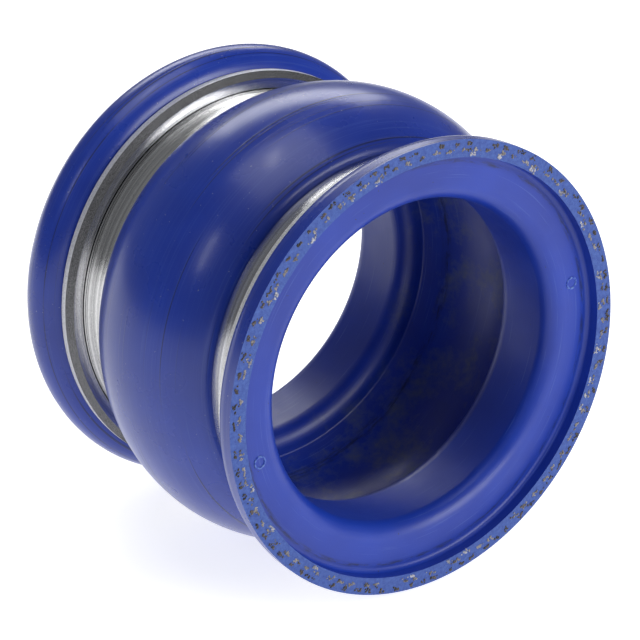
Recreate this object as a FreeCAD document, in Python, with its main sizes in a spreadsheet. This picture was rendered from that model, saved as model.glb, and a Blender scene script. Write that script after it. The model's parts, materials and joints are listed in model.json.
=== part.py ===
"""Single-arch rubber expansion joint with two steel backing rings.

The joint is a moulded silicone tube, reinforced with three knitted plies.
Its wall runs out into a flange at each end and swells into one round arch
in the middle.  A turned steel ring lies in each of the two valleys between
the arch and the flanges, and backs the flange up where a clamp grips it.
The front flange is cut off square at its rim.  The rear one is cut a little
further out, where its rim has begun to turn in.

Frame: millimetres, Z up, the hose lies along Y.  The origin is the centre
of the front cut face, and the rear cut face is at y = overall_length.
Both ends are drawn by depth, which counts from the front cut face, or from
its mirror image in the middle of the arch.
"""
import FreeCAD, Part
import math
import os
import Sketcher

# Driving dimensions: alias, value in millimetres, meaning.
SIZES = [
    ("overall_length", 99.0, "cut face to cut face"),
    ("arch_middle", 47.9, "front cut face to the middle of the arch"),
    ("throat_radius", 44.7, "bore of the two necks"),
    ("lip_radius", 5.0, "sealing face into neck"),
    ("sealing_depth", 3.85, "depth of the two sealing faces"),
    ("front_rim_bore", 57.7, "inside of the front rim"),
    ("front_rim_fillet", 1.3, "front rim into sealing face, inside"),
    ("front_rim_lean", 0.0, "sine of the front rim's inward lean"),
    ("rear_rim_bore", 58.35, "inside of the rear rim where it is widest"),
    ("rear_rim_fillet", 2.6, "rear rim into sealing face, inside"),
    ("rear_rim_lean", 0.5, "sine of the rear rim's inward lean"),
    ("root_fillet", 0.5, "neck into the arch's flank, outside"),
    ("flank_depth", 22.5, "depth of the arch's flank, outside"),
    ("shoulder_curve", 5.6, "flank into arch, outside"),
    ("arch_crest_radius", 63.9, "outside radius at the top of the arch"),
    ("arch_curve", 37.4, "radius of the arch's own curve, outside"),
    ("crown_half_width", 13.0, "half width of the middle of the arch"),
    ("liner", 0.7, "inner rubber"),
    ("inner_ply", 0.4, "knitted ply"),
    ("inner_tie", 0.6, "rubber between plies"),
    ("middle_ply", 0.5, "knitted ply"),
    ("outer_tie", 1.1, "rubber between plies"),
    ("outer_ply", 0.5, "knitted ply"),
    ("cover", 1.0, "outer rubber"),
    ("ring_gap", 0.1, "flange to ring, and ring to arch"),
    ("ring_rim_radius", 58.25, "outside of the ring's rim"),
    ("ring_rim_width", 2.3, "flat on the rim"),
    ("ring_bevel_width", 1.5, "bevel behind the rim, along the hose"),
    ("ring_bevel_drop", 1.8, "bevel behind the rim, radially"),
    ("ring_root_radius", 53.5, "sleeve where it meets the web"),
    ("ring_end_radius", 52.9, "sleeve at its arch end"),
    ("ring_seat_chamfer", 1.3, "clears the neck's inside corner"),
    ("ring_crease", 0.5, "fillet between web and sleeve"),
    ("ring_rounding", 0.4, "rounding of the ring's outer edges"),
]

# The wall from the bore outwards.
LAYERS = ["liner", "inner_ply", "inner_tie", "middle_ply", "outer_tie", "outer_ply", "cover"]

TURN_ROUND = FreeCAD.Rotation(FreeCAD.Vector(0, 0, 1), 180)


class Size:
    """A length as a number and as the spreadsheet expression that gives it."""

    def __init__(self, value, text):
        self.value = value
        self.text = text

    def _join(self, sign, other, value):
        return Size(value, "(%s %s %s)" % (self.text, sign, other.text))

    def __add__(self, other):
        return self._join("+", other, self.value + other.value)

    def __sub__(self, other):
        return self._join("-", other, self.value - other.value)

    def __mul__(self, other):
        return self._join("*", other, self.value * other.value)

    def __truediv__(self, other):
        return self._join("/", other, self.value / other.value)

    def root(self):
        return Size(math.sqrt(self.value), "sqrt(%s)" % self.text)


def make_sheet(doc):
    """Write the driving dimensions and return them by alias."""
    sheet = doc.addObject("Spreadsheet::Sheet", "Sizes")
    found = {}
    for row, (alias, value, meaning) in enumerate(SIZES, start=1):
        sheet.set("A%d" % row, meaning)
        sheet.set("B%d" % row, str(value))
        sheet.setAlias("B%d" % row, alias)
        found[alias] = Size(value, "Sizes.%s" % alias)
    doc.recompute()
    return found


class Outline:
    """A closed sketch in the half plane through the axis: x is radius, y is depth."""

    def __init__(self, body, label):
        self.sketch = body.newObject("Sketcher::SketchObject", label)
        plane = [f for f in body.Origin.OriginFeatures if f.Role == "XY_Plane"][0]
        self.sketch.AttachmentSupport = [(plane, "")]
        self.sketch.MapMode = "FlatFace"

    def line(self, start, end):
        a, b = FreeCAD.Vector(*start, 0), FreeCAD.Vector(*end, 0)
        return self.sketch.addGeometry(Part.LineSegment(a, b))

    def arc(self, centre, radius, from_deg, to_deg):
        circle = Part.Circle(FreeCAD.Vector(*centre, 0), FreeCAD.Vector(0, 0, 1), radius)
        start, end = math.radians(from_deg), math.radians(to_deg)
        return self.sketch.addGeometry(Part.ArcOfCircle(circle, start, end))

    def rule(self, *args):
        return self.sketch.addConstraint(Sketcher.Constraint(*args))

    def bind(self, size, *args):
        """A dimension, driven by the spreadsheet."""
        index = self.rule(*args, size.value)
        self.sketch.setExpression("Constraints[%d]" % index, size.text)

    def at_radius(self, geo, point, size):
        self.bind(size, "DistanceX", -1, 1, geo, point)

    def at_depth(self, geo, point, size):
        if size.value == 0:
            self.rule("PointOnObject", geo, point, -1)
        else:
            self.bind(size, "DistanceY", -1, 1, geo, point)

    def seam(self, inner, outer, point):
        """A straight line across the layer, from one face's end to the other's."""
        place = "StartPoint" if point == START else "EndPoint"
        ends = [tuple(getattr(self.sketch.Geometry[geo], place))[:2] for geo in (inner, outer)]
        line = self.line(*ends)
        self.rule("Coincident", line, START, inner, point)
        self.rule("Coincident", line, END, outer, point)


START, END, CENTRE = 1, 2, 3


class Wall:
    """Shape of the hose wall, shared by its layers.

    A layer's face is the inside face of the wall offset outwards, so each
    face is known by its offset.
    """

    def __init__(self, s):
        self.s = s
        self.zero = Size(0.0, "0")
        self.thickness = self.zero
        self.faces = [self.zero]
        for layer in LAYERS:
            self.thickness = self.thickness + s[layer]
            self.faces.append(self.thickness)
        self.neck_outside = s["throat_radius"] + self.thickness
        self.root_radius = self.neck_outside + s["root_fillet"]
        self.root_depth = s["flank_depth"] - s["root_fillet"]
        self.arch_centre = s["arch_crest_radius"] - s["arch_curve"]
        self.crown_sine = s["crown_half_width"] / s["arch_curve"]
        self.ring_face = s["sealing_depth"] + self.thickness + s["ring_gap"]

    def arch_radius(self, face):
        return self.s["arch_curve"] - self.thickness + face

    def end_face(self, outline, face, end):
        """One face of an end: rim, corner, flange, lip, neck and root fillet."""
        s = self.s
        lean = s[end + "_rim_lean"]
        corner_radius = s[end + "_rim_bore"] - s[end + "_rim_fillet"]
        corner_depth = s["sealing_depth"] - s[end + "_rim_fillet"]
        corner = s[end + "_rim_fillet"] + face
        corner_start = corner_depth - corner * lean
        tail = self.tail(end)
        flange = s["sealing_depth"] + face
        lip = s["lip_radius"] - face
        neck = s["throat_radius"] + face
        root = s["root_fillet"] + self.thickness - face
        lip_radius = (s["throat_radius"] + s["lip_radius"]).value
        lip_depth = (s["sealing_depth"] + s["lip_radius"]).value
        lean_angle = math.asin(lean.value)
        start = (corner_radius.value + corner.value * math.cos(lean_angle), corner_start.value)
        cut = (start[0] - (start[1] + tail.value) * math.tan(lean_angle), -tail.value)
        centre = (corner_radius.value, corner_depth.value)

        rim_line = outline.line(cut, start)
        corner_arc = outline.arc(centre, corner.value, -math.degrees(lean_angle), 90)
        flange_line = outline.line((centre[0], flange.value), (lip_radius, flange.value))
        lip_arc = outline.arc((lip_radius, lip_depth), lip.value, 180, 270)
        neck_line = outline.line((neck.value, lip_depth), (neck.value, self.root_depth.value))
        root_centre = (self.root_radius.value, self.root_depth.value)
        root_arc = outline.arc(root_centre, root.value, 90, 180)

        outline.rule("Tangent", rim_line, END, corner_arc, START)
        outline.rule("Tangent", corner_arc, END, flange_line, START)
        outline.rule("Tangent", flange_line, END, lip_arc, END)
        outline.rule("Tangent", lip_arc, START, neck_line, START)
        outline.rule("Tangent", neck_line, END, root_arc, END)
        outline.rule("Horizontal", flange_line)
        outline.rule("Vertical", neck_line)
        outline.at_depth(rim_line, START, self.zero - tail)
        outline.at_depth(corner_arc, START, corner_start)
        outline.at_radius(corner_arc, CENTRE, corner_radius)
        outline.bind(corner, "Radius", corner_arc)
        outline.at_depth(flange_line, START, flange)
        outline.bind(lip, "Radius", lip_arc)
        outline.at_radius(neck_line, START, neck)
        outline.bind(root, "Radius", root_arc)
        outline.at_depth(root_arc, CENTRE, self.root_depth)
        outline.at_radius(root_arc, START, self.root_radius)
        return rim_line, root_arc

    def tail(self, end):
        """How far the cut face lies outside the front one's place."""
        s = self.s
        return self.zero if end == "front" else s["overall_length"] - s["arch_middle"] - s["arch_middle"]

    def end_outline(self, outline, inner, outer, end):
        inner_rim, inner_root = self.end_face(outline, inner, end)
        outer_rim, outer_root = self.end_face(outline, outer, end)
        outline.seam(inner_rim, outer_rim, START)
        outline.seam(inner_root, outer_root, START)

    def flank_face(self, outline, face):
        """One face of a flank: the flat flank, its shoulder and the arch's side."""
        s = self.s
        depth = s["flank_depth"] + self.thickness - face
        shoulder = s["shoulder_curve"] - self.thickness + face
        reach = (s["arch_curve"] - s["shoulder_curve"]).value
        shoulder_depth = depth.value + shoulder.value
        run = s["arch_middle"].value - shoulder_depth
        slope = math.degrees(math.asin(run / reach))
        shoulder_radius = self.arch_centre.value + math.sqrt(reach * reach - run * run)
        crown = math.degrees(math.asin(self.crown_sine.value))

        flat = outline.line((self.root_radius.value, depth.value), (shoulder_radius, depth.value))
        bend = outline.arc((shoulder_radius, shoulder_depth), shoulder.value, -90, -slope)
        centre = (self.arch_centre.value, s["arch_middle"].value)
        side = outline.arc(centre, self.arch_radius(face).value, -slope, -crown)

        outline.rule("Tangent", flat, END, bend, START)
        outline.rule("Tangent", bend, END, side, START)
        outline.rule("Horizontal", flat)
        outline.at_radius(flat, START, self.root_radius)
        outline.at_depth(flat, START, depth)
        outline.bind(shoulder, "Radius", bend)
        outline.bind(self.arch_radius(face), "Radius", side)
        outline.at_radius(side, CENTRE, self.arch_centre)
        outline.at_depth(side, CENTRE, s["arch_middle"])
        outline.at_depth(side, END, s["arch_middle"] - self.arch_radius(face) * self.crown_sine)
        return flat, side

    def flank_outline(self, outline, inner, outer):
        inner_flat, inner_side = self.flank_face(outline, inner)
        outer_flat, outer_side = self.flank_face(outline, outer)
        outline.seam(inner_flat, outer_flat, START)
        outline.seam(inner_side, outer_side, END)

    def crown_outline(self, outline, inner, outer):
        """The middle of the arch, up to its two flanks."""
        centre = (self.arch_centre.value, self.s["arch_middle"].value)
        crown = math.degrees(math.asin(self.crown_sine.value))
        arcs = []
        for face in (inner, outer):
            radius = self.arch_radius(face)
            arc = outline.arc(centre, radius.value, -crown, crown)
            outline.bind(radius, "Radius", arc)
            outline.at_depth(arc, START, self.s["arch_middle"] - radius * self.crown_sine)
            outline.at_depth(arc, END, self.s["arch_middle"] + radius * self.crown_sine)
            arcs.append(arc)
        outline.at_radius(arcs[0], CENTRE, self.arch_centre)
        outline.at_depth(arcs[0], CENTRE, self.s["arch_middle"])
        outline.rule("Coincident", arcs[0], CENTRE, arcs[1], CENTRE)
        outline.seam(arcs[0], arcs[1], START)
        outline.seam(arcs[0], arcs[1], END)


def ring_outline(outline, s, wall):
    """Section of a steel ring: rim, bevel, web and tapered sleeve."""
    face = wall.ring_face
    bore = wall.neck_outside
    bevel_radius = s["ring_rim_radius"] - s["ring_bevel_drop"]
    rim_end = face + s["ring_rim_width"]
    web = rim_end + s["ring_bevel_width"]
    end = s["flank_depth"] - s["ring_gap"]
    corners = [
        (bore, face + s["ring_seat_chamfer"]),
        (bore + s["ring_seat_chamfer"], face),
        (s["ring_rim_radius"], face),
        (s["ring_rim_radius"], rim_end),
        (bevel_radius, web),
        (s["ring_root_radius"], web),
        (s["ring_end_radius"], end),
        (bore, end),
    ]
    lines = []
    for here, after in zip(corners, corners[1:] + corners[:1]):
        ends = [(radius.value, depth.value) for radius, depth in (here, after)]
        lines.append(outline.line(*ends))
    for line, after in zip(lines, lines[1:] + lines[:1]):
        outline.rule("Coincident", line, END, after, START)
    for line, (radius, depth) in zip(lines, corners):
        outline.at_radius(line, START, radius)
        outline.at_depth(line, START, depth)


def turned_body(doc, label, draw):
    """A body of one sketch turned about the hose's axis."""
    body = doc.addObject("PartDesign::Body", label)
    body.Label = label
    outline = Outline(body, label + "_section")
    draw(outline)
    turned = body.newObject("PartDesign::Revolution", label + "_turned")
    turned.Profile = outline.sketch
    turned.ReferenceAxis = (outline.sketch, ["V_Axis"])
    turned.Angle = 360
    doc.recompute()
    return body


def edges_at(shape, wanted):
    """Names of the circular edges at the given (radius, depth) places."""
    names = []
    for number, edge in enumerate(shape.Edges, start=1):
        if not isinstance(edge.Curve, Part.Circle):
            continue
        place = (edge.Curve.Radius, edge.Curve.Center.y)
        if any(math.dist(place, target) < 1e-3 for target in wanted):
            names.append("Edge%d" % number)
    return names


def round_off(doc, body, label, wanted, size):
    """A fillet on the body's circular edges at the given places."""
    base = body.Tip
    fillet = body.newObject("PartDesign::Fillet", label)
    fillet.Base = (base, edges_at(base.Shape, wanted))
    fillet.setExpression("Radius", size.text)
    doc.recompute()


def make_ring(doc, label, s, wall):
    body = turned_body(doc, label, lambda outline: ring_outline(outline, s, wall))
    face = wall.ring_face.value
    web = face + s["ring_rim_width"].value + s["ring_bevel_width"].value
    rim = s["ring_rim_radius"].value
    end = (s["ring_end_radius"].value, s["flank_depth"].value - s["ring_gap"].value)
    round_off(doc, body, label + "_edges", [(rim, face), end], s["ring_rounding"])
    round_off(doc, body, label + "_crease", [(s["ring_root_radius"].value, web)], s["ring_crease"])
    return body


def turn_to_rear(body, s):
    """Mirror a turned piece's place in the middle of the arch."""
    middle = s["arch_middle"]
    body.Placement = FreeCAD.Placement(FreeCAD.Vector(0, 2 * middle.value, 0), TURN_ROUND)
    body.setExpression("Placement.Base.y", "2 * %s" % middle.text)


def make_layers(doc, wall):
    """The seven layers of the wall, each in five stretches along the hose."""
    made = {}
    for layer, inner, outer in zip(LAYERS, wall.faces, wall.faces[1:]):
        for end in ("front", "rear"):
            made["%s_end_%s" % (end, layer)] = turned_body(
                doc, "%s_end_%s" % (end, layer),
                lambda outline: wall.end_outline(outline, inner, outer, end))
            made["%s_flank_%s" % (end, layer)] = turned_body(
                doc, "%s_flank_%s" % (end, layer),
                lambda outline: wall.flank_outline(outline, inner, outer))
        made["crown_" + layer] = turned_body(
            doc, "crown_" + layer,
            lambda outline: wall.crown_outline(outline, inner, outer))
    return made


def check(doc, bodies):
    """Stop at any failed object, open sketch or bad solid."""
    for item in doc.Objects:
        if {"Invalid", "Error"} & set(item.State):
            raise RuntimeError("%s failed: %s" % (item.Label, item.State))
        if item.isDerivedFrom("Sketcher::SketchObject") and not item.FullyConstrained:
            raise RuntimeError("%s is not fully constrained" % item.Label)
    for body in bodies:
        shape = body.Shape
        if shape.isNull() or not shape.isValid() or len(shape.Solids) != 1:
            raise RuntimeError("%s has a bad shape" % body.Label)


def main():
    doc = FreeCAD.newDocument("expansion_joint")
    s = make_sheet(doc)
    wall = Wall(s)
    made = make_layers(doc, wall)
    for label in ("front_ring", "rear_ring"):
        made[label] = make_ring(doc, label, s, wall)
    for label, body in made.items():
        if label.startswith("rear_"):
            turn_to_rear(body, s)
    doc.recompute()
    check(doc, made.values())
    os.makedirs("parts", exist_ok=True)
    for label, body in made.items():
        body.Shape.exportStep("parts/%s.step" % label)
        print("%-24s %9.1f mm3" % (label, body.Shape.Volume))


main()
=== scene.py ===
import json
import math
import random

import bpy
import numpy as np
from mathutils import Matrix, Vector


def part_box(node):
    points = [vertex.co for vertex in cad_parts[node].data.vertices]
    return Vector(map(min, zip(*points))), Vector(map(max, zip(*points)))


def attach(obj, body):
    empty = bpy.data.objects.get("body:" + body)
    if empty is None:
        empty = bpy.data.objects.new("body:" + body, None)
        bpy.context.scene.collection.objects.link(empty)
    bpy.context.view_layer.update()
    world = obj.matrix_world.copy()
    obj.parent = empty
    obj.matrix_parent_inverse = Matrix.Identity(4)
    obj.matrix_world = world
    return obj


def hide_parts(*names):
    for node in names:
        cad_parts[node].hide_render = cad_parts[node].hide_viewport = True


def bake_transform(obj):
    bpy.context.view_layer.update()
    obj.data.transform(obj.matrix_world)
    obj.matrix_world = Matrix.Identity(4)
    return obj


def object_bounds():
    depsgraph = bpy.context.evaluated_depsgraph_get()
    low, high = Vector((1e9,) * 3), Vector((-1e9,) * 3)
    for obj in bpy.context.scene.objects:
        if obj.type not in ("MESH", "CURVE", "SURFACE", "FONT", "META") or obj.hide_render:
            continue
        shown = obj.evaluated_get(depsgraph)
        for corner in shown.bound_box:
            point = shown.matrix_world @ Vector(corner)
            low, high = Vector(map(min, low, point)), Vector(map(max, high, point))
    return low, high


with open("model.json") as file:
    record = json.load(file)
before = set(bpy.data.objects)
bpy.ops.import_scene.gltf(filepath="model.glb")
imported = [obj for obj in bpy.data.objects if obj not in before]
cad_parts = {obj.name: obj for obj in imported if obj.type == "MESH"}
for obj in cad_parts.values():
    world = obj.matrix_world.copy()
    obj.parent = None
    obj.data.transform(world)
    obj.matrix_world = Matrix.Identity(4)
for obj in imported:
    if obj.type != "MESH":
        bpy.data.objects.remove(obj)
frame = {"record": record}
cad_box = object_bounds()

MM = 0.001
TURN_STEPS = 360
ARC_STEPS = 18
SMALLEST_STEP = 1e-8

# Curves of the wall's section that the frame's boxes and mounts don't give, in metres.
LIP_RADIUS = 5.0 * MM
ROOT_FILLET = 0.5 * MM
FRONT_CORNER = 1.3 * MM
REAR_CORNER = 2.6 * MM
REAR_LEAN = math.radians(30)
REAR_BORE = 58.35 * MM
PARTING_SLOPE = math.radians(35)
SHOULDER_CURVE = 5.6 * MM
ARCH_CURVE = 37.4 * MM
RING_LAND = 2.3 * MM
RING_BEVEL = (1.5 * MM, 1.8 * MM)
RING_ROOT = 53.5 * MM
RING_END = 52.9 * MM
RING_CHAMFER = 1.3 * MM
RING_ROUND = 0.4 * MM

LAYERS = ["liner", "inner_ply", "inner_tie", "middle_ply", "outer_tie", "outer_ply", "cover"]


# ---------------------------------------------------------------- sizes from the frame

mounts = {m["name"]: m for m in frame["record"]["mounts"]}
LENGTH = cad_box[1].y
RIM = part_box("front_end_cover")[1].x
BORE = mounts["front_recess"]["dims"]["r_mm"] * MM
WALL = RIM - BORE
THROAT = mounts["front_neck"]["dims"]["r_mm"] * MM
SEAL = mounts["front_sealing_face"]["pos_m"][1]
MIDDLE = (SEAL + mounts["rear_sealing_face"]["pos_m"][1]) / 2
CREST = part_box("crown_cover")[1].x
CROWN_HALF = (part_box("crown_cover")[1].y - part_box("crown_cover")[0].y) / 2
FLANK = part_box("front_flank_cover")[0].y
RING_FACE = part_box("front_ring")[0].y
RING_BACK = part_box("front_ring")[1].y
RING_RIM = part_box("front_ring")[1].x
ROOT_CENTRE = (FLANK - ROOT_FILLET, THROAT + WALL + ROOT_FILLET)
ARCH_CENTRE = (MIDDLE, CREST - ARCH_CURVE)
SHOULDER_RUN = MIDDLE - FLANK - SHOULDER_CURVE
SHOULDER_REACH = ARCH_CURVE - SHOULDER_CURVE
SHOULDER_SLOPE = math.asin(SHOULDER_RUN / SHOULDER_REACH)
SHOULDER_CENTRE = (FLANK + SHOULDER_CURVE,
                   ARCH_CENTRE[1] + math.sqrt(SHOULDER_REACH ** 2 - SHOULDER_RUN ** 2))
CROWN_SLOPE = math.asin(CROWN_HALF / ARCH_CURVE)
PARTING = 2 * MIDDLE - (SEAL - REAR_CORNER) - (REAR_CORNER + WALL) * math.sin(PARTING_SLOPE)
SEAM_DEPTH = ROOT_CENTRE[0] + ROOT_FILLET + WALL

# Length along a ring's section to the crease between web and sleeve, then the dark marks on the ring:
# how far past the crease, half width, and strength.  The first, on the crease itself, is painted shade;
# the rest are turning marks.
RING_CREASE = (RING_RIM - RING_ROUND - THROAT - WALL - RING_CHAMFER + RING_ROUND * math.pi / 2
               + RING_LAND - RING_ROUND + math.hypot(*RING_BEVEL) + RING_RIM - RING_BEVEL[1] - RING_ROOT)
CREASE_SHADE_AND_TURNING_MARKS = [(0.0, 0.20 * MM, 0.95), (1.1 * MM, 0.10 * MM, 0.90), (1.75 * MM, 0.07 * MM, 0.80),
                 (4.6 * MM, 0.06 * MM, 0.45)]


# ---------------------------------------------------------------- sections

def line(start, end, normal, steps=4):
    """Points (depth, radius, normal depth, normal radius) along a straight run."""
    return [(start[0] + (end[0] - start[0]) * i / steps,
             start[1] + (end[1] - start[1]) * i / steps, *normal) for i in range(steps + 1)]


def arc(centre, radius, start, end, side=1, steps=ARC_STEPS):
    """Points along an arc.  The wall's normal turns from start to end, measured from
    the radial direction towards greater depth.  side is -1 where it faces the centre."""
    points = []
    for i in range(steps + 1):
        a = start + (end - start) * i / steps
        n = (math.sin(a), math.cos(a))
        points.append((centre[0] + side * radius * n[0], centre[1] + side * radius * n[1], *n))
    return points


def end_face(face, corner, bore, lean, tail):
    centre = (SEAL - corner, bore - corner)
    radius = corner + face
    bend = arc(centre, radius, -lean, math.pi / 2)
    cut_radius = bend[0][1] - (bend[0][0] + tail) * math.tan(lean)
    flange = SEAL + face
    lip_centre = (SEAL + LIP_RADIUS, THROAT + LIP_RADIUS)
    neck = THROAT + face
    return [line((-tail, cut_radius), bend[0][:2], (-math.sin(lean), math.cos(lean))),
            bend,
            line((flange, centre[1]), (flange, lip_centre[1]), (1, 0)),
            arc(lip_centre, LIP_RADIUS - face, math.pi / 2, 0, -1),
            line((lip_centre[0], neck), (ROOT_CENTRE[0], neck), (0, 1)),
            arc(ROOT_CENTRE, ROOT_FILLET + WALL - face, 0, -math.pi / 2, -1)]


def flank_face(face):
    depth = FLANK + WALL - face
    return [line((depth, ROOT_CENTRE[1]), (depth, SHOULDER_CENTRE[1]), (-1, 0)),
            arc(SHOULDER_CENTRE, SHOULDER_CURVE - WALL + face, -math.pi / 2, -SHOULDER_SLOPE),
            arc(ARCH_CENTRE, ARCH_CURVE - WALL + face, -SHOULDER_SLOPE, -CROWN_SLOPE)]


def crown_face(face):
    return [arc(ARCH_CENTRE, ARCH_CURVE - WALL + face, -CROWN_SLOPE, 0)]


COVER, LINER, CUT = 0, 1, 2


def closed(outer, inner):
    """A closed section, as (material, points) runs, between a wall's two faces."""
    runs = [(COVER, run) for run in outer]
    a, b = outer[-1][-1], inner[-1][-1]
    across = (a[3], -a[2])
    runs.append((CUT, line(a[:2], b[:2], across, 2)))
    for run in reversed(inner):
        runs.append((LINER, [(d, r, -nd, -nr) for d, r, nd, nr in reversed(run)]))
    a, b = inner[0][0], outer[0][0]
    runs.append((CUT, line(a[:2], b[:2], (-1, 0), 6)))
    return runs


def turn(name, runs, materials, rear=False, steps=TURN_STEPS):
    """A solid of revolution about Y whose shading normals are the section's own."""
    ring, faces, normals, slots, wraps = [], [], [], [], []
    length = 0.0
    for slot, run in runs:
        for a, b in zip(run, run[1:]):
            if math.dist(a[:2], b[:2]) < SMALLEST_STEP:
                continue
            if not ring:
                ring.append(a[:2])
                wraps.append(length)
            length += math.dist(a[:2], b[:2])
            faces.append((len(ring) - 1, len(ring)))
            normals.append((a[2:], b[2:]))
            slots.append(slot)
            ring.append(b[:2])
            wraps.append(length)
    ring.pop()
    wraps.pop()
    count = len(ring)
    angle = np.arange(steps) * 2 * math.pi / steps
    depth = np.array([p[0] for p in ring])
    radius = np.array([p[1] for p in ring])
    y = 2 * MIDDLE - depth if rear else depth
    sign = -1 if rear else 1
    co = np.stack([radius[None] * np.cos(angle)[:, None],
                   np.broadcast_to(y, (steps, count)),
                   radius[None] * np.sin(angle)[:, None]], -1).reshape(-1, 3)
    wrap = np.stack([np.broadcast_to(np.cos(angle)[:, None], (steps, count)),
                     np.broadcast_to(np.array(wraps), (steps, count)),
                     np.broadcast_to(np.sin(angle)[:, None], (steps, count))], -1).reshape(-1, 3)
    quads, loop_normals, quad_slots = [], [], []
    a0, b0 = faces[0]
    n0 = normals[0][0]
    run0 = (y[b0] - y[a0], radius[b0] - radius[a0])
    flip = run0[1] * n0[0] * sign - run0[0] * n0[1] > 0
    for (a, b), (na, nb), slot in zip(faces, normals, slots):
        b %= count
        for j in range(steps):
            k = (j + 1) % steps
            corners = [(a, j, na), (b, j, nb), (b, k, nb), (a, k, na)]
            if flip:
                corners.reverse()
            quads.append([jj * count + i for i, jj, _ in corners])
            loop_normals += [(n[1] * math.cos(angle[jj]), sign * n[0], n[1] * math.sin(angle[jj]))
                             for _, jj, n in corners]
            quad_slots.append(slot)
    mesh = bpy.data.meshes.new(name)
    mesh.from_pydata(co.tolist(), [], quads)
    for material in materials:
        mesh.materials.append(material)
    mesh.polygons.foreach_set("material_index", quad_slots)
    mesh.polygons.foreach_set("use_smooth", [True] * len(quads))
    attribute = mesh.attributes.new("wrap", "FLOAT_VECTOR", "POINT")
    attribute.data.foreach_set("vector", wrap.astype(np.float32).ravel())
    mesh.update()
    mesh.normals_split_custom_set(loop_normals)
    piece = bpy.data.objects.new(name, mesh)
    bpy.context.scene.collection.objects.link(piece)
    return piece


def plain_mesh(name, points, faces, material, smooth=True):
    """An object made from points and faces, with one material."""
    mesh = bpy.data.meshes.new(name)
    mesh.from_pydata(points, [], faces)
    mesh.polygons.foreach_set("use_smooth", [smooth] * len(faces))
    mesh.materials.append(material)
    made = bpy.data.objects.new(name, mesh)
    bpy.context.scene.collection.objects.link(made)
    return made


# ---------------------------------------------------------------- materials

class Paint:
    """A material's node tree, with short ways to add to it."""

    def __init__(self, name):
        self.material = bpy.data.materials.new(name)
        self.material.use_nodes = True
        self.tree = self.material.node_tree
        self.shader = self.tree.nodes["Principled BSDF"]

    def add(self, kind, settings=None, **inputs):
        made = self.tree.nodes.new("ShaderNode" + kind)
        for key, value in (settings or {}).items():
            setattr(made, key, value)
        for key, value in inputs.items():
            self.link(value, made.inputs[key.replace("_", " ")])
        return made

    def link(self, value, socket):
        if isinstance(value, bpy.types.NodeSocket):
            self.tree.links.new(value, socket)
        else:
            socket.default_value = value

    def wrapped(self, around, along):
        """Coordinates that close up around the hose: around and along are scales."""
        source = self.add("Attribute", {"attribute_name": "wrap"})
        return self.add("Mapping", Vector=source.outputs["Vector"],
                        Scale=(around, along, around)).outputs["Vector"]

    def place(self):
        return self.add("TexCoord").outputs["Object"]

    def band(self, value, start, end, low=0.0, high=1.0):
        """A ramp of a length, in metres, between two places."""
        made = self.add("MapRange", Value=value)
        for name, number in (("From Min", start), ("From Max", end), ("To Min", low), ("To Max", high)):
            made.inputs[name].default_value = number
        return made.outputs["Result"]

    def radius_and_depth(self):
        """Distance from the hose's axis, and place along it."""
        split = self.add("SeparateXYZ", Vector=self.place())
        flat = self.add("CombineXYZ", X=split.outputs["X"], Y=split.outputs["Z"])
        away = self.add("VectorMath", {"operation": "LENGTH"})
        self.link(flat.outputs["Vector"], away.inputs[0])
        return away.outputs["Value"], split.outputs["Y"]

    def profile_length(self):
        """Length along a turned piece's section, from where the section starts."""
        source = self.add("Attribute", {"attribute_name": "wrap"})
        return self.add("SeparateXYZ", Vector=source.outputs["Vector"]).outputs["Y"]

    def stripe(self, value, centre, half):
        """One within half of the centre, falling to nothing over a third as much again."""
        return self.times(self.band(value, centre - half * 4 / 3, centre - half),
                          self.band(value, centre + half, centre + half * 4 / 3, 1.0, 0.0))

    def times(self, first, second):
        made = self.add("Math", {"operation": "MULTIPLY"})
        self.link(first, made.inputs[0])
        self.link(second, made.inputs[1])
        return made.outputs["Value"]

    def noise(self, vector, scale, detail=4.0, roughness=0.55):
        return self.add("TexNoise", Vector=vector, Scale=scale, Detail=detail,
                        Roughness=roughness).outputs["Fac"]

    def ramp(self, value, *stops):
        made = self.add("ValToRGB", Fac=value)
        ramp = made.color_ramp
        while len(ramp.elements) < len(stops):
            ramp.elements.new(0.5)
        for element, (place, colour) in zip(ramp.elements, stops):
            element.position = place
            grey = isinstance(colour, (int, float))
            element.color = (colour, colour, colour, 1) if grey else (*colour, 1)
        return made.outputs["Color"]

    def mix(self, share, first, second):
        made = self.add("Mix", {"data_type": "RGBA"})
        for value, index in ((share, 0), (first, 6), (second, 7)):
            if isinstance(value, tuple):
                value = (*value, 1)
            self.link(value, made.inputs[index])
        return made.outputs[2]

    def bump(self, height, strength, distance, onto=None):
        made = self.add("Bump", Height=height, Strength=strength, Distance=distance)
        if onto is not None:
            self.link(onto, made.inputs["Normal"])
        return made.outputs["Normal"]

    def finish(self, **inputs):
        for key, value in inputs.items():
            self.link(value, self.shader.inputs[key.replace("_", " ")])
        return self.material


DEEP_BLUE = (0.005, 0.024, 0.245)
MID_BLUE = (0.008, 0.038, 0.340)
PALE_BLUE = (0.075, 0.130, 0.400)
DUST = (0.30, 0.33, 0.40)
SCORED_BLUE = (0.002, 0.006, 0.050)
PATCH_GREY = (0.105, 0.125, 0.125)
# Painted shade for the sealing face's corner.
CORNER_SHADE = (0.006, 0.010, 0.035)
SPECK = (0.02, 0.02, 0.03)
CUT_DARK = (0.020, 0.050, 0.24)
CUT_LIGHT = (0.060, 0.115, 0.36)
FRAY = (0.30, 0.33, 0.42)
WORN_BLUE = (0.11, 0.19, 0.46)
# Painted shade for the rings' crease, also used for their turning marks.
SHADE_AND_MARK_BLACK = (0.02, 0.02, 0.025)
PIT_GREY = (0.13, 0.13, 0.14)

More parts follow.
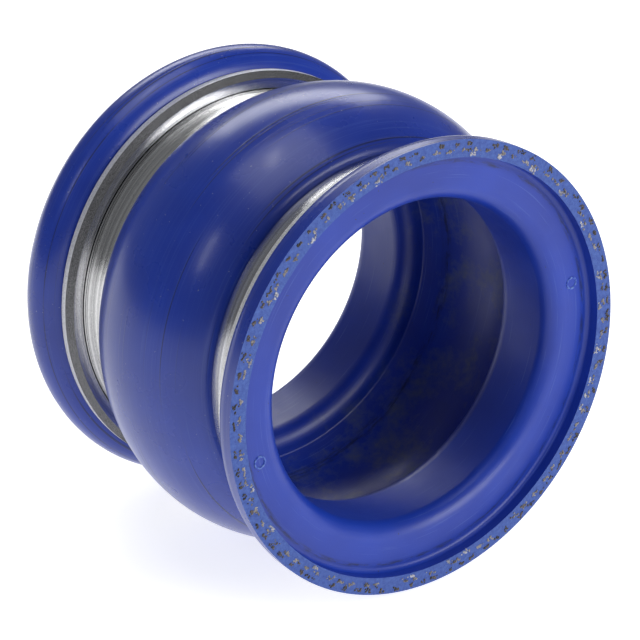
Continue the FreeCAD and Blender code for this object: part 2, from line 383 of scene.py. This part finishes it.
STEEL_DARK = (0.46, 0.46, 0.47)
STEEL_LIGHT = (0.86, 0.86, 0.86)
BLASTED_DARK = (0.030, 0.030, 0.032)
BLASTED_LIGHT = (0.33, 0.33, 0.34)
GROUND_DARK = (0.42, 0.42, 0.43)
GROUND_LIGHT = (0.86, 0.86, 0.87)

SILICONE_IOR = 1.43
BUMP_DEPTH = 0.0002

# The parting line's half widths, full and faded.
PARTING_LINE = (0.08 * MM, 0.16 * MM)

# Where painted shade in the sealing face's corner ends, starts to fade, is full again and begins,
# measured inwards from the recess's bore.
CORNER_SHADE_BAND = (1.2 * MM, 1.9 * MM, 2.2 * MM, 2.9 * MM)

# How far past the flank the arch's lining takes to reach its full staining.
ARCH_FADE = 2 * MM


def cover_silicone():
    paint = Paint("silicone_cover")
    cloud = paint.noise(paint.place(), 22.0)
    colour = paint.mix(paint.ramp(cloud, (0.35, 0.0), (0.68, 1.0)), DEEP_BLUE, MID_BLUE)
    lines = paint.noise(paint.wrapped(0.55, 1700.0), 1.0, 0.0)
    scored = paint.ramp(lines, (0.735, 0.0), (0.765, 0.75))
    colour = paint.mix(scored, colour, SCORED_BLUE)
    rubbed = paint.ramp(paint.noise(paint.wrapped(1.6, 2600.0), 1.0, 3.0), (0.55, 0.0), (0.72, 0.22))
    colour = paint.mix(rubbed, colour, PALE_BLUE)
    depth = paint.radius_and_depth()[1]
    core, edge = PARTING_LINE
    parting = paint.times(paint.band(depth, PARTING - edge, PARTING - core),
                          paint.band(depth, PARTING + core, PARTING + edge, 1.0, 0.0))
    broken = paint.ramp(paint.noise(paint.wrapped(3.0, 60.0), 1.0), (0.35, 0.2), (0.55, 0.9))
    colour = paint.mix(paint.times(parting, broken), colour, SCORED_BLUE)
    specks = paint.ramp(paint.noise(paint.place(), 1500.0, 1.0), (0.775, 0.0), (0.80, 0.8))
    colour = paint.mix(specks, colour, DUST)
    rough = paint.ramp(paint.noise(paint.place(), 60.0), (0.3, 0.24), (0.75, 0.36))
    fine = paint.bump(paint.noise(paint.place(), 2600.0, 3.0), 0.05, BUMP_DEPTH)
    normal = paint.bump(scored, 0.35, BUMP_DEPTH, fine)
    return paint.finish(Base_Color=colour, Roughness=rough, Normal=normal, Coat_Weight=0.22,
                        Coat_Roughness=0.16, IOR=SILICONE_IOR)


def liner_silicone():
    paint = Paint("silicone_liner")
    cloud = paint.noise(paint.place(), 26.0)
    colour = paint.mix(paint.ramp(cloud, (0.35, 0.0), (0.7, 1.0)), DEEP_BLUE, MID_BLUE)
    scratches = paint.ramp(paint.noise(paint.wrapped(2.2, 2400.0), 1.0, 3.0), (0.62, 0.0), (0.70, 0.35))
    colour = paint.mix(scratches, colour, PALE_BLUE)
    radius, depth = paint.radius_and_depth()
    patches = paint.ramp(paint.noise(paint.place(), 55.0, 8.0, 0.7), (0.50, 0.0), (0.68, 0.75))
    fade = SEAM_DEPTH + ARCH_FADE
    in_arch = paint.times(paint.band(depth, FLANK, fade),
                          paint.band(depth, 2 * MIDDLE - fade, 2 * MIDDLE - FLANK, 1.0, 0.0))
    colour = paint.mix(paint.times(patches, in_arch), colour, PATCH_GREY)
    # Painted shade: a dark, broken band in the sealing face's corner.
    last, fading, full, first = CORNER_SHADE_BAND
    corner = paint.times(paint.band(radius, BORE - first, BORE - full),
                         paint.band(radius, BORE - fading, BORE - last, 1.0, 0.0))
    shade_in_corner = paint.ramp(paint.noise(paint.wrapped(9.0, 900.0), 1.0, 6.0, 0.75), (0.44, 0.0), (0.60, 0.8))
    colour = paint.mix(paint.times(shade_in_corner, corner), colour, CORNER_SHADE)
    specks = paint.ramp(paint.noise(paint.place(), 1100.0, 1.0), (0.785, 0.0), (0.80, 0.9))
    colour = paint.mix(specks, colour, SPECK)
    rough = paint.ramp(paint.noise(paint.place(), 80.0), (0.3, 0.33), (0.75, 0.52))
    normal = paint.bump(paint.noise(paint.place(), 1800.0, 4.0), 0.08, BUMP_DEPTH,
                        paint.bump(paint.noise(paint.wrapped(2.2, 2400.0), 1.0, 3.0), 0.12, BUMP_DEPTH))
    return paint.finish(Base_Color=colour, Roughness=rough, Normal=normal, Coat_Weight=0.12,
                        Coat_Roughness=0.25, IOR=SILICONE_IOR)


def cut_silicone():
    paint = Paint("silicone_cut")
    torn = paint.noise(paint.place(), 900.0, 6.0, 0.7)
    colour = paint.mix(paint.ramp(torn, (0.35, 0.0), (0.68, 1.0)), CUT_DARK, CUT_LIGHT)
    frays = paint.ramp(paint.noise(paint.place(), 2100.0, 2.0), (0.70, 0.0), (0.76, 0.5))
    colour = paint.mix(frays, colour, FRAY)
    return paint.finish(Base_Color=colour, Roughness=paint.ramp(torn, (0.3, 0.55), (0.7, 0.8)),
                        Normal=paint.bump(torn, 0.55, 2 * BUMP_DEPTH), IOR=SILICONE_IOR)


def rubbed_silicone():
    paint = Paint("silicone_rubbed")
    worn = paint.noise(paint.place(), 1400.0, 4.0)
    colour = paint.mix(paint.ramp(worn, (0.4, 0.0), (0.6, 1.0)), MID_BLUE, WORN_BLUE)
    return paint.finish(Base_Color=colour, Roughness=0.5, Normal=paint.bump(worn, 0.3, BUMP_DEPTH),
                        IOR=SILICONE_IOR)


def turned_steel():
    paint = Paint("turned_steel")
    grooves = paint.noise(paint.wrapped(0.35, 5200.0), 1.0, 4.0, 0.7)
    streaks = paint.noise(paint.wrapped(0.45, 900.0), 1.0, 4.0, 0.6)
    colour = paint.mix(paint.ramp(streaks, (0.3, 0.0), (0.72, 1.0)), STEEL_DARK, STEEL_LIGHT)
    along = paint.profile_length()
    # Dark stripes: the one on the crease is painted shade, the rest are turning marks.
    for place, half, share in CREASE_SHADE_AND_TURNING_MARKS:
        stripe = paint.stripe(along, RING_CREASE + place, half)
        colour = paint.mix(paint.times(stripe, share), colour, SHADE_AND_MARK_BLACK)
    grain = paint.ramp(paint.noise(paint.place(), 1700.0, 3.0), (0.62, 0.0), (0.72, 0.5))
    colour = paint.mix(grain, colour, PIT_GREY)
    rough = paint.ramp(grooves, (0.3, 0.10), (0.75, 0.26))
    return paint.finish(Base_Color=colour, Roughness=rough, Metallic=1.0,
                        Normal=paint.bump(grooves, 0.12, BUMP_DEPTH))


def blasted_steel():
    paint = Paint("blasted_steel")
    grain = paint.noise(paint.place(), 5200.0, 4.0, 0.7)
    colour = paint.mix(paint.ramp(grain, (0.40, 0.0), (0.66, 1.0)), BLASTED_DARK, BLASTED_LIGHT)
    return paint.finish(Base_Color=colour, Roughness=paint.ramp(grain, (0.3, 0.35), (0.7, 0.60)),
                        Metallic=1.0, Normal=paint.bump(grain, 0.40, 1.5 * BUMP_DEPTH))


def ground_steel():
    """The rim's land, ground to an even grain.  It is painted as part metal, which a real land
    isn't, so that it stays pale where there is little for it to reflect: its pale colour is partly a
    painted reflection."""
    paint = Paint("ground_steel")
    grain = paint.noise(paint.place(), 3800.0, 4.0, 0.65)
    colour = paint.mix(paint.ramp(grain, (0.34, 0.0), (0.60, 1.0)), GROUND_DARK, GROUND_LIGHT)
    return paint.finish(Base_Color=colour, Roughness=0.42, Metallic=0.55,
                        Normal=paint.bump(grain, 0.10, BUMP_DEPTH))


def yarn(name, dark, light):
    paint = Paint(name)
    share = paint.ramp(paint.noise(paint.place(), 420.0, 3.0), (0.38, 0.0), (0.62, 1.0))
    colour = paint.mix(share, dark, light)
    fibre = paint.noise(paint.place(), 5200.0, 3.0)
    return paint.finish(Base_Color=colour, Roughness=paint.ramp(fibre, (0.3, 0.75), (0.7, 0.95)),
                        Normal=paint.bump(fibre, 0.7, BUMP_DEPTH), Sheen_Weight=0.25)


cover, liner, cut = cover_silicone(), liner_silicone(), cut_silicone()
mark = rubbed_silicone()
rubber = [cover, liner, cut]
steel, blasted, ground = turned_steel(), blasted_steel(), ground_steel()


# ---------------------------------------------------------------- the wall

def nodes_of(stretch):
    return ["%s_%s" % (stretch, layer) for layer in LAYERS]


# Each end's cut rim: the radius of its corner, its bore, its lean and its tail.
ENDS = {"front": (FRONT_CORNER, BORE, 0.0, 0.0),
        "rear": (REAR_CORNER, REAR_BORE, REAR_LEAN, LENGTH - 2 * MIDDLE)}


for end, shape in ENDS.items():
    is_rear = end == "rear"
    wall = turn(end + "_end_wall", closed(end_face(WALL, *shape), end_face(0.0, *shape)), rubber, is_rear)
    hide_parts(*nodes_of(end + "_end"))
    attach(wall, end + "_end")

    flank = turn(end + "_flank_wall", closed(flank_face(WALL), flank_face(0.0)), rubber, is_rear)
    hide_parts(*nodes_of(end + "_flank"))
    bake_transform(flank)

    half = turn(end + "_crown_wall", closed(crown_face(WALL), crown_face(0.0)), rubber, is_rear)
    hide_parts(*nodes_of("crown"))
    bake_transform(half)


# ---------------------------------------------------------------- backing rings

TURNED, BLASTED, GROUND = 0, 1, 2


def ring_section():
    """Rim, bevel, web and sleeve, with small rounds that catch the light."""
    bore = THROAT + WALL
    edge = RING_ROUND
    rim_end = RING_FACE + RING_LAND
    web = rim_end + RING_BEVEL[0]
    bevel = RING_RIM - RING_BEVEL[1]
    slant = math.hypot(*RING_BEVEL)
    bevel_normal = (RING_BEVEL[1] / slant, RING_BEVEL[0] / slant)
    taper = math.atan2(RING_ROOT - RING_END, RING_BACK - web)
    sleeve_normal = (math.sin(taper), math.cos(taper))
    chamfer = (-math.sqrt(0.5), -math.sqrt(0.5))
    return [(TURNED, line((RING_FACE, bore + RING_CHAMFER), (RING_FACE, RING_RIM - edge), (-1, 0))),
            (TURNED, arc((RING_FACE + edge, RING_RIM - edge), edge, -math.pi / 2, 0, steps=6)),
            (GROUND, line((RING_FACE + edge, RING_RIM), (rim_end, RING_RIM), (0, 1))),
            (BLASTED, line((rim_end, RING_RIM), (web, bevel), bevel_normal)),
            (TURNED, line((web, bevel), (web, RING_ROOT), (1, 0))),
            (TURNED, line((web, RING_ROOT), (RING_BACK - edge, RING_END), sleeve_normal, 8)),
            (TURNED, arc((RING_BACK - edge, RING_END - edge), edge, 0, math.pi / 2, steps=6)),
            (TURNED, line((RING_BACK, RING_END - edge), (RING_BACK, bore), (1, 0))),
            (TURNED, line((RING_BACK, bore), (RING_FACE + RING_CHAMFER, bore), (0, -1))),
            (TURNED, line((RING_FACE + RING_CHAMFER, bore), (RING_FACE, bore + RING_CHAMFER), chamfer))]


for end in ENDS:
    ring = turn(end + "_ring_turned", ring_section(), [steel, blasted, ground], end == "rear")
    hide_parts(end + "_ring")
    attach(ring, end + "_end")


# ---------------------------------------------------------------- yarn ends in the cut rims

STITCH = 4.4 * MM
GROUP_SPREAD = 0.62 * MM
ROW_SPREAD = 0.26 * MM
YARN_SIZE = 0.62 * MM
YARN_SUNK = 0.05 * MM
YARN_PROUD = 0.45 * MM
YARNS_PER_STITCH = (7, 10)


def tuft(rng, centre, outward, size):
    """A short, lumpy yarn end: eight-sided, five rows, closed at both tips."""
    rows, sides = 5, 8
    along = Vector((rng.uniform(-0.7, 0.7), 0.55 * outward, rng.uniform(-0.7, 0.7))).normalized()
    across = along.orthogonal().normalized()
    third = along.cross(across)
    points = [centre - along * size]
    for i in range(rows):
        t = (i + 1) / (rows + 1)
        width = size * 0.45 * math.sin(math.pi * t) * rng.uniform(0.75, 1.25)
        for j in range(sides):
            a = 2 * math.pi * j / sides
            points.append(centre + along * size * (2 * t - 1)
                          + (across * math.cos(a) + third * math.sin(a)) * width * rng.uniform(0.8, 1.2))
    points.append(centre + along * size)
    last = len(points) - 1
    faces = [(0, 1 + (j + 1) % sides, 1 + j) for j in range(sides)]
    for i in range(rows - 1):
        for j in range(sides):
            a, b = 1 + i * sides + j, 1 + i * sides + (j + 1) % sides
            faces.append((a, b, b + sides, a + sides))
    top = 1 + (rows - 1) * sides
    faces += [(top + j, top + (j + 1) % sides, last) for j in range(sides)]
    return points, faces


def press_in(points, plane, outward):
    """Bring what stands out of the cut face to less than YARN_PROUD from it."""
    for point in points:
        proud = outward * (point.y - plane)
        if proud > 0:
            point.y = plane + outward * YARN_PROUD * proud / (YARN_PROUD + proud)


def yarn_row(name, end, radius, material, chance, seed):
    """One ply's row of yarn ends, in groups a stitch apart."""
    rng = random.Random(seed)
    outward = 1 if end == "rear" else -1
    plane = LENGTH if end == "rear" else 0.0
    stitches = round(2 * math.pi * radius / STITCH)
    points, faces = [], []
    for stitch in range(stitches):
        centre_angle = 2 * math.pi * (stitch + rng.uniform(-0.15, 0.15)) / stitches
        if rng.random() > chance:
            continue
        for _ in range(rng.randint(*YARNS_PER_STITCH)):
            a = centre_angle + rng.gauss(0, GROUP_SPREAD) / radius
            r = radius + rng.gauss(0, ROW_SPREAD)
            centre = Vector((r * math.cos(a), plane - outward * YARN_SUNK, r * math.sin(a)))
            new_points, new_faces = tuft(rng, centre, outward, YARN_SIZE * rng.uniform(0.6, 1.25))
            press_in(new_points, plane, outward)
            base = len(points)
            points += [tuple(q) for q in new_points]
            faces += [tuple(base + i for i in face) for face in new_faces]
    piece = plain_mesh(name, points, faces, material)
    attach(piece, end + "_end")


yarns = {"outer_ply": (yarn("yarn_dark", (0.006, 0.005, 0.006), (0.075, 0.058, 0.055)), 0.95),
         "middle_ply": (yarn("yarn_light", (0.04, 0.030, 0.028), (0.27, 0.25, 0.25)), 0.90),
         "inner_ply": (yarn("yarn_pale", (0.17, 0.17, 0.21), (0.42, 0.42, 0.48)), 0.32)}
outward_radius = {layer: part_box("front_end_" + layer)[1].x for layer in LAYERS}
for end_number, end in enumerate(ENDS):
    shrink = 0.0 if end == "front" else RIM - end_face(WALL, *ENDS["rear"])[0][0][1]
    for row_number, (ply, (material, chance)) in enumerate(yarns.items()):
        inside = outward_radius[LAYERS[LAYERS.index(ply) - 1]]
        middle = (outward_radius[ply] + inside) / 2 - shrink
        yarn_row("%s_%s_ends" % (end, ply), end, middle, material, chance, 10 * end_number + row_number)


# ---------------------------------------------------------------- moulding marks

MARK_RADIUS = 1.55 * MM
MARK_CIRCLE = 52.5 * MM
MARK_RIM = (0.30 * MM, 0.28 * MM)
MARK_SUNK = 0.02 * MM
MARK_STEPS = (48, 12)
MARK_ANGLES = {"left": 194.2, "right": 12.1}


def mould_mark(name, degrees):
    """A low round rim, left on the sealing face by the mould."""
    a = math.radians(degrees)
    centre = Vector((MARK_CIRCLE * math.cos(a), SEAL - MARK_SUNK, MARK_CIRCLE * math.sin(a)))
    around, across = MARK_STEPS
    rim_width, rim_height = MARK_RIM
    points, faces = [], []
    for i in range(around):
        u = 2 * math.pi * i / around
        for j in range(across):
            v = 2 * math.pi * j / across
            r = MARK_RADIUS + rim_width * math.cos(v)
            offset = Vector((r * math.cos(u), rim_height * math.sin(v), r * math.sin(u)))
            points.append(tuple(centre + offset))
            k, m = (i + 1) % around, (j + 1) % across
            faces.append((i * across + j, i * across + m, k * across + m, k * across + j))
    piece = plain_mesh(name, points, faces, mark)
    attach(piece, "front_end")


for side, degrees in MARK_ANGLES.items():
    mould_mark("mould_mark_" + side, degrees)


# ---------------------------------------------------------------- stage, light, camera

FLOOR_HALF_WIDTH = 3.0
BACKDROP_RADIUS = 1.6
BACKDROP_HEIGHT = 3.0
BACKDROP_SIDES = 96
FLOOR_GLOW = 0.75
BACKDROP_GLOW = 0.95
STUDIO_GREY = (0.80, 0.82, 0.85, 1)
STUDIO_STRENGTH = 0.24
AIM = Vector((0, MIDDLE, -2.1 * MM))

# Each light's name, place, width and height in metres, and power in watts.
LIGHTS = [("overhead", (0.62, 1.15, 0.80), (1.2, 0.5), 7.0),
          ("left_strip", (-0.75, -0.05, 0.55), (0.05, 0.26), 0.35),
          ("crest_streak", (-0.115, 0.120, 0.990), (0.22, 0.07), 0.30),
          ("front_fill", (0.35, -1.10, 0.45), (0.7, 0.7), 11.0),
          ("top_fill", (-0.10, 0.05, 1.30), (0.9, 0.9), 5.0)]

CAMERA_AZIMUTH = math.radians(-36.10)
CAMERA_ELEVATION = math.radians(23.34)
CAMERA_DISTANCE = 0.7481
CAMERA_LENS = 154.7
CAMERA_SENSOR = 36.0


def glowing_white(name, glow):
    return Paint(name).finish(Base_Color=(0.75, 0.75, 0.75, 1), Roughness=0.9,
                              Emission_Color=(1, 1, 1, 1), Emission_Strength=glow)


def make_floor():
    w = FLOOR_HALF_WIDTH
    points = [(-w, -w, -CREST), (w, -w, -CREST), (w, w, -CREST), (-w, w, -CREST)]
    floor = plain_mesh("floor", points, [(0, 1, 2, 3)], glowing_white("floor_paint", FLOOR_GLOW), False)


def make_backdrop():
    """A white wall around the stage, which is seen but gives no light and casts no shadow."""
    angles = [2 * math.pi * i / BACKDROP_SIDES for i in range(BACKDROP_SIDES)]
    points = [(BACKDROP_RADIUS * math.cos(a), BACKDROP_RADIUS * math.sin(a), z)
              for z in (-CREST, BACKDROP_HEIGHT) for a in angles]
    faces = []
    for i in range(BACKDROP_SIDES):
        k = (i + 1) % BACKDROP_SIDES
        faces.append((i, k, BACKDROP_SIDES + k, BACKDROP_SIDES + i))
    backdrop = plain_mesh("backdrop", points, faces, glowing_white("backdrop_paint", BACKDROP_GLOW), False)
    backdrop.visible_diffuse = False
    backdrop.visible_glossy = False
    backdrop.visible_shadow = False


def area_light(name, location, size, power):
    data = bpy.data.lights.new(name, "AREA")
    data.shape = "RECTANGLE"
    data.size, data.size_y = size
    data.energy = power
    lamp = bpy.data.objects.new(name, data)
    lamp.location = location
    lamp.rotation_mode = "QUATERNION"
    lamp.rotation_quaternion = (AIM - Vector(location)).to_track_quat("-Z", "Y")
    bpy.context.scene.collection.objects.link(lamp)


def light_studio():
    world = bpy.data.worlds.new("studio")
    world.use_nodes = True
    background = world.node_tree.nodes["Background"]
    background.inputs["Color"].default_value = STUDIO_GREY
    background.inputs["Strength"].default_value = STUDIO_STRENGTH
    bpy.context.scene.world = world
    bpy.context.scene.view_settings.view_transform = "Standard"
    for light in LIGHTS:
        area_light(*light)


def place_camera():
    level = math.cos(CAMERA_ELEVATION)
    back = Vector((math.sin(CAMERA_AZIMUTH) * level, -math.cos(CAMERA_AZIMUTH) * level,
                   math.sin(CAMERA_ELEVATION)))
    data = bpy.data.cameras.new("camera")
    data.lens = CAMERA_LENS
    data.sensor_width = CAMERA_SENSOR
    camera = bpy.data.objects.new("camera", data)
    camera.location = AIM + back * CAMERA_DISTANCE
    camera.rotation_mode = "QUATERNION"
    camera.rotation_quaternion = (-back).to_track_quat("-Z", "Y")
    bpy.context.scene.collection.objects.link(camera)
    bpy.context.scene.camera = camera


make_floor()
make_backdrop()
light_studio()
place_camera()
